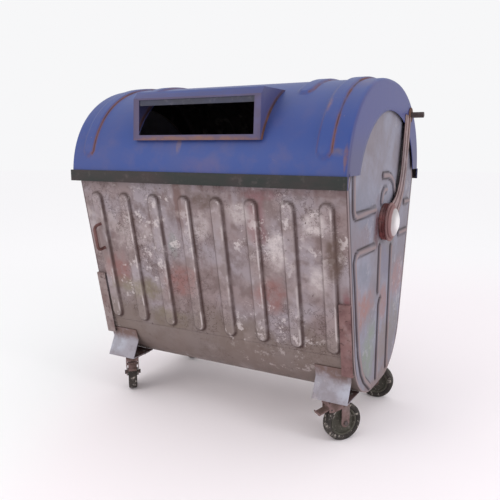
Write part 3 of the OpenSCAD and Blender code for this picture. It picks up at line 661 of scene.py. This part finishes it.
def length_at_height(z, front):
    """Length along the curve, from the front foot, where the dome reaches a height."""
    rows = range(rows_over // 2) if front else range(rows_over, rows_over // 2, -1)
    return lengths[min(rows, key=lambda row: abs(dome_point(turns[row], 0).y - z))]


bead_end = length_at_height(1141 * mm, False) - lid_bead_half
top = lengths[rows_over // 2]
bead_span = {i: (start + lid_bead_half, bead_end) for i, start in (
    (0.5, top), (1.5, top), (2.5, length_at_height(1378 * mm, True)), (3.5, length_at_height(1141 * mm, True)))}
flat_half = lid_half - corner_radius
stations = [("cheek", 1 - i / 9) for i in range(9)] + [("corner", 90 - i * 15) for i in range(6)]
stations = ([(kind, -1, part) for kind, part in stations]
            + [("flat", 0, -flat_half + i * 2 * flat_half / 196) for i in range(197)]
            + [(kind, 1, part) for kind, part in reversed(stations)])


def lid_place(station, row, bm_vert, edge, crest):
    kind, side, part = station
    turn = turns[row]
    if kind == "cheek":
        y, z = dome_point(turn, corner_radius).lerp(arch_point(turn), part)
        return side * lid_half, y, z
    if kind == "corner":
        angle = math.radians(part)
        y, z = dome_point(turn, corner_radius * (1 - math.cos(angle)))
        return side * (flat_half + corner_radius * math.sin(angle)), y, z
    i = min(3.5, max(0.5, math.floor(abs(part) / rib_pitch) + 0.5))
    start, end = bead_span[i]
    past = max(0.0, start - lengths[row], lengths[row] - end)
    away = math.hypot(abs(part) - i * rib_pitch, past)
    height, bm_vert[edge], bm_vert[crest] = rib_profile(away, lid_bead_half, 11 * mm)
    # A bead's edge line, rust and a dark line, is fuller on the bead's right flank than on its left: painted shade.
    bm_vert[edge] *= 0.25 + 0.75 * smooth(-20 * mm, 20 * mm, abs(part) - i * rib_pitch if part > 0
                                          else i * rib_pitch - abs(part))
    y, z = dome_point(turn, -height * lid_bead_height * 0.97)
    return part, y, z


bm, edge, crest = grid(len(stations) - 1, rows_over)
for v in bm.verts:
    column = round((v.co.x + 1) / 2 * (len(stations) - 1))
    row = round((v.co.y + 1) / 2 * rows_over)
    v.co = lid_place(stations[column], row, v, edge, crest)


def cut(bm, faces, point, normal, clear=False):
    """Cuts some faces along a plane, and with clear takes away what the normal points at."""
    parts = set(faces)
    parts.update(e for f in faces for e in f.edges)
    parts.update(v for f in faces for v in f.verts)
    bmesh.ops.bisect_plane(bm, geom=list(parts), dist=1e-5, plane_co=point, plane_no=normal, clear_outer=clear)


cheeks = [f for f in bm.faces if all(abs(v.co.x) > lid_half - 1e-5 for v in f.verts)]
cut(bm, cheeks, (0, 0, 1083 * mm), (0, 0, -1), clear=True)
hole_low, hole_high, hole_half = 1214 * mm, 1391 * mm, 286 * mm
for point, normal in (((0, 0, hole_low), (0, 0, 1)), ((0, 0, hole_high), (0, 0, 1)),
                      ((-hole_half, 0, 0), (1, 0, 0)), ((hole_half, 0, 0), (1, 0, 0))):
    cut(bm, [f for f in bm.faces if f.calc_center_median().y < -0.2 and abs(f.calc_center_median().x) < 0.4],
        point, normal)
hole = [f for f in bm.faces if f.calc_center_median().y < 0 and abs(f.calc_center_median().x) < hole_half
        and hole_low < f.calc_center_median().z < hole_high]
bmesh.ops.delete(bm, geom=hole, context="FACES")
bmesh.ops.remove_doubles(bm, verts=bm.verts[:], dist=1e-6)
# The inside of the lid shell gets the near-black finish: painted shade behind the paper slot.
sheet_piece("lid_shell", bm, lid_paint, "lid", ["lid_dome", "lid_cheek_left", "lid_cheek_right"], 2 * mm,
            lambda p: p - Vector((0, 0, rim_z)), inside=inside_shade)
print("beads start", {i: round(a, 3) for i, (a, b) in bead_span.items()}, "m along the curve")

# %% [markdown]
# ### The lid's arms
# A curved strap on each side joins the lid to its hub. Two long beads stiffen it. The strap is a narrow
# grid that is bent along the arm's middle line.

# %% Lid arms
arm_line = [Vector(p) * mm for p in ((270, 1318), (243, 1140), (222, 1050), (188, 985), (136, 935), (60, 900))]
arm_half = 48 * mm


def along_line(line, share):
    """Point and sideways direction at a share of a line's points, on a smooth curve through them."""
    place = share * (len(line) - 1)
    i = min(len(line) - 2, int(place))
    t = place - i
    p0, p1, p2, p3 = (line[max(0, min(len(line) - 1, j))] for j in range(i - 1, i + 3))
    point = 0.5 * ((2 * p1) + (p2 - p0) * t + (2 * p0 - 5 * p1 + 4 * p2 - p3) * t * t
                   + (3 * p1 - p0 - 3 * p2 + p3) * t ** 3)
    run = 0.5 * ((p2 - p0) + 2 * (2 * p0 - 5 * p1 + 4 * p2 - p3) * t + 3 * (3 * p1 - p0 - 3 * p2 + p3) * t * t)
    run.normalize()
    return point, Vector((-run.y, run.x))


def lid_arm(name, side):
    bm, edge, crest = grid(36, 90)
    for v in bm.verts:
        across = v.co.x * arm_half
        point, sideways = along_line(arm_line, (v.co.y + 1) / 2)
        height, v[edge], v[crest] = rib_profile(abs(abs(across) - 22 * mm), 11 * mm, 6 * mm)
        # Both long edges of the strap get the dark line: painted shade of the gap between the strap and the side
        # panel.
        v[edge] = max(v[edge], smooth(0.90, 0.98, abs(v.co.x)))
        y, z = point + sideways * across
        v.co = (side * (635 * mm + height * 4 * mm), y, z)
    return sheet_piece(name, bm, arm_finish, "lid", [name.replace("_strap", "")], 3 * mm,
                       lambda p: Vector((side, 0, 0)))


arm_finish = zinc("arm_finish", base=(0.28, 0.19, 0.19), second=(0.23, 0.17, 0.18), scuffs=0.2, streaks=0.4,
                  line=(0.04, 0.015, 0.016))
lid_arm("lid_arm_left_strap", -1)
lid_arm("lid_arm_right_strap", 1)

# %% [markdown]
# ## Softened fittings
# Cast and bent fittings have no knife edges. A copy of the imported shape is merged, its flat facets are
# joined again, and its sharp edges get a small round bevel, which catches the light along every edge.


# %% Softened fittings
def softened(node, finish, body, bevel=1.5 * mm, segments=2, sharp=35):
    bm = bmesh.new()
    bm.from_mesh(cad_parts[node].data)
    bmesh.ops.remove_doubles(bm, verts=bm.verts[:], dist=1e-5)
    bmesh.ops.dissolve_limit(bm, angle_limit=math.radians(0.6), verts=bm.verts[:], edges=bm.edges[:])
    edges = [e for e in bm.edges if e.is_manifold and e.calc_face_angle(0) > math.radians(40)]
    if bevel:
        bmesh.ops.bevel(bm, geom=edges, offset=bevel, segments=segments, profile=0.5, affect="EDGES",
                        clamp_overlap=True, material=-1)
    return as_piece(node + "_worn", bm, finish, body, [node], sharp)


corners = ("fl", "fr", "rl", "rr")
softened("slot_hood", hood_paint, "lid", 2.5 * mm, 3)
for side in ("left", "right"):
    softened("trunnion_boss_" + side, rust_drum, "container", 2 * mm)
    softened("lid_hub_" + side, rust_drum, "lid", 2.5 * mm, 3)
    softened("corner_guard_" + side, {"left": guard_left, "right": guard_right}[side], "container", 1.2 * mm)
    softened("opener_pin_" + side, dark_pin, "lid", 1.5 * mm)
    softened("opener_plate_" + side, brown_plate, "lid", 1.2 * mm)
for end in ("front", "rear"):
    softened("edge_band_" + end, band_paint, "lid", 1.5 * mm)
for k in corners:
    softened("caster_bracket_" + k, zinc_bracket, "container", 1.2 * mm)
    softened("fork_" + k, rust_fork, "caster_" + k, 1.2 * mm)
for k in ("fl", "fr"):
    softened("brake_pedal_" + k, rust_fork, "brake_" + k, 1.2 * mm)

# %% [markdown]
# ## Wheels
# Tyre and disc are round, so each is half a cross-section spun about the axle.

# %% Wheels and tyres
caster_turn = {"fl": 130, "fr": 52, "rl": 140, "rr": 5}
front_swivel, rear_swivel = (528 * mm, -262 * mm), (515 * mm, 242 * mm)
wheel_radius, trail, tyre_width = 80 * mm, 30 * mm, 42 * mm


def caster_place(k):
    """Where a wheel sits: the middle of its axle, turned so that the axle lies along its own Y."""
    x, y = front_swivel if k[0] == "f" else rear_swivel
    x = x if k[1] == "r" else -x
    return (Matrix.Translation((x, y, 0)) @ Matrix.Rotation(math.radians(caster_turn[k]), 4, "Z")
            @ Matrix.Translation((trail, 0, wheel_radius)))


def spun(name, profile, finish, k, stands_for, closed=True):
    """Spins (radius, width) points about the axle."""
    bm = bmesh.new()
    points = [bm.verts.new((radius, width, 0)) for radius, width in profile]
    ring = points + points[:1] if closed else points
    for a, b in zip(ring, ring[1:]):
        bm.edges.new((a, b))
    bmesh.ops.spin(bm, geom=bm.verts[:] + bm.edges[:], cent=(0, 0, 0), axis=(0, 1, 0), angle=2 * math.pi,
                   steps=72, use_merge=True)
    bmesh.ops.remove_doubles(bm, verts=bm.verts[:], dist=1e-6)
    bmesh.ops.recalc_face_normals(bm, faces=bm.faces[:])
    bmesh.ops.transform(bm, matrix=caster_place(k), verts=bm.verts[:])
    return as_piece(name, bm, finish, "rolling_" + k, stands_for, 40)


def rounded(points, radius, steps=4):
    """Rounds the corners of a closed outline of (radius, width) points."""
    out = []
    for before, corner, after in zip(points[-1:] + points[:-1], points, points[1:] + points[:1]):
        a, c, b = Vector(before), Vector(corner), Vector(after)
        reach = min(radius, (a - c).length / 2.2, (b - c).length / 2.2)
        start, end = c + (a - c).normalized() * reach, c + (b - c).normalized() * reach
        for i in range(steps + 1):
            t = i / steps
            out.append(tuple((1 - t) ** 2 * start + 2 * t * (1 - t) * c + t * t * end))
    return out


half = tyre_width / 2
tread = [(58.5 * mm, -half + 3 * mm), (70 * mm, -half), (wheel_radius, -half + 3 * mm),
         (wheel_radius, half - 3 * mm), (70 * mm, half), (58.5 * mm, half - 3 * mm)]
disc = [(6.2 * mm, -25 * mm), (19 * mm, -25 * mm), (20 * mm, -8 * mm), (34 * mm, -5 * mm), (48 * mm, -6 * mm),
        (51 * mm, -17 * mm), (58.3 * mm, -18 * mm), (58.3 * mm, 18 * mm), (51 * mm, 17 * mm), (48 * mm, 6 * mm),
        (34 * mm, 5 * mm), (20 * mm, 8 * mm), (19 * mm, 25 * mm), (6.2 * mm, 25 * mm)]
for k in corners:
    spun("tyre_" + k + "_round", rounded(tread, 6 * mm), tyre_rubber, k, ["tyre_" + k])
    spun("wheel_" + k + "_disc", rounded(disc, 2 * mm, 3), disc_paint, k, ["wheel_" + k])

# %% [markdown]
# ## Finishes for the pieces that stay as they are
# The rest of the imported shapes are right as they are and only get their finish.

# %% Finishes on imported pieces
kept = {
    "trough_floor": zinc_trough, "rim_rail_front": rust_rail, "rim_rail_rear": rust_rail,
    "grab_handle": rust_handle, "caster_top_plates": rust_fork, "caster_bolts": dark_pin, "kingpins": dark_pin,
    "slot_lip": lip_shade_dark,
}
for side in ("left", "right"):
    kept["trunnion_shaft_" + side] = rust_drum
    kept["trunnion_cap_" + side] = zinc_cap
    kept["pivot_bush_" + side] = bush_plastic
for k in corners:
    kept["axle_" + k] = dark_pin
for k in ("fl", "fr"):
    kept["brake_pin_" + k] = dark_pin
for node, finish in kept.items():
    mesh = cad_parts[node].data
    mesh.materials.clear()
    mesh.materials.append(finish)
print("packed pieces kept:", len(kept))

# %% [markdown]
# ## Floor
# A wide pale floor that is nearly the same shade as the sky, so that no edge shows.

# %% Floor
bm = bmesh.new()
bmesh.ops.create_circle(bm, cap_ends=True, radius=30, segments=64)
mesh = bpy.data.meshes.new("floor")
bm.to_mesh(mesh)
bm.free()
floor = bpy.data.objects.new("floor", mesh)
bpy.context.scene.collection.objects.link(floor)
plain = Finish("floor_finish", roughness=0.9, specular=0.0)
across_view = plain.math("ADD", plain.math("MULTIPLY", plain.axis("X"), 0.88), plain.math("MULTIPLY", plain.axis("Y"), 0.48))
shade = plain.layer((0.96, 0.96, 0.965), plain.fade(across_view, -1.1, -0.6), (0.99, 0.935, 0.96))
shade = plain.layer(shade, plain.fade(plain.vector("LENGTH", plain.place), 1.6, 5.0), (0.995, 0.985, 0.995))
mesh.materials.append(plain.finish(shade))
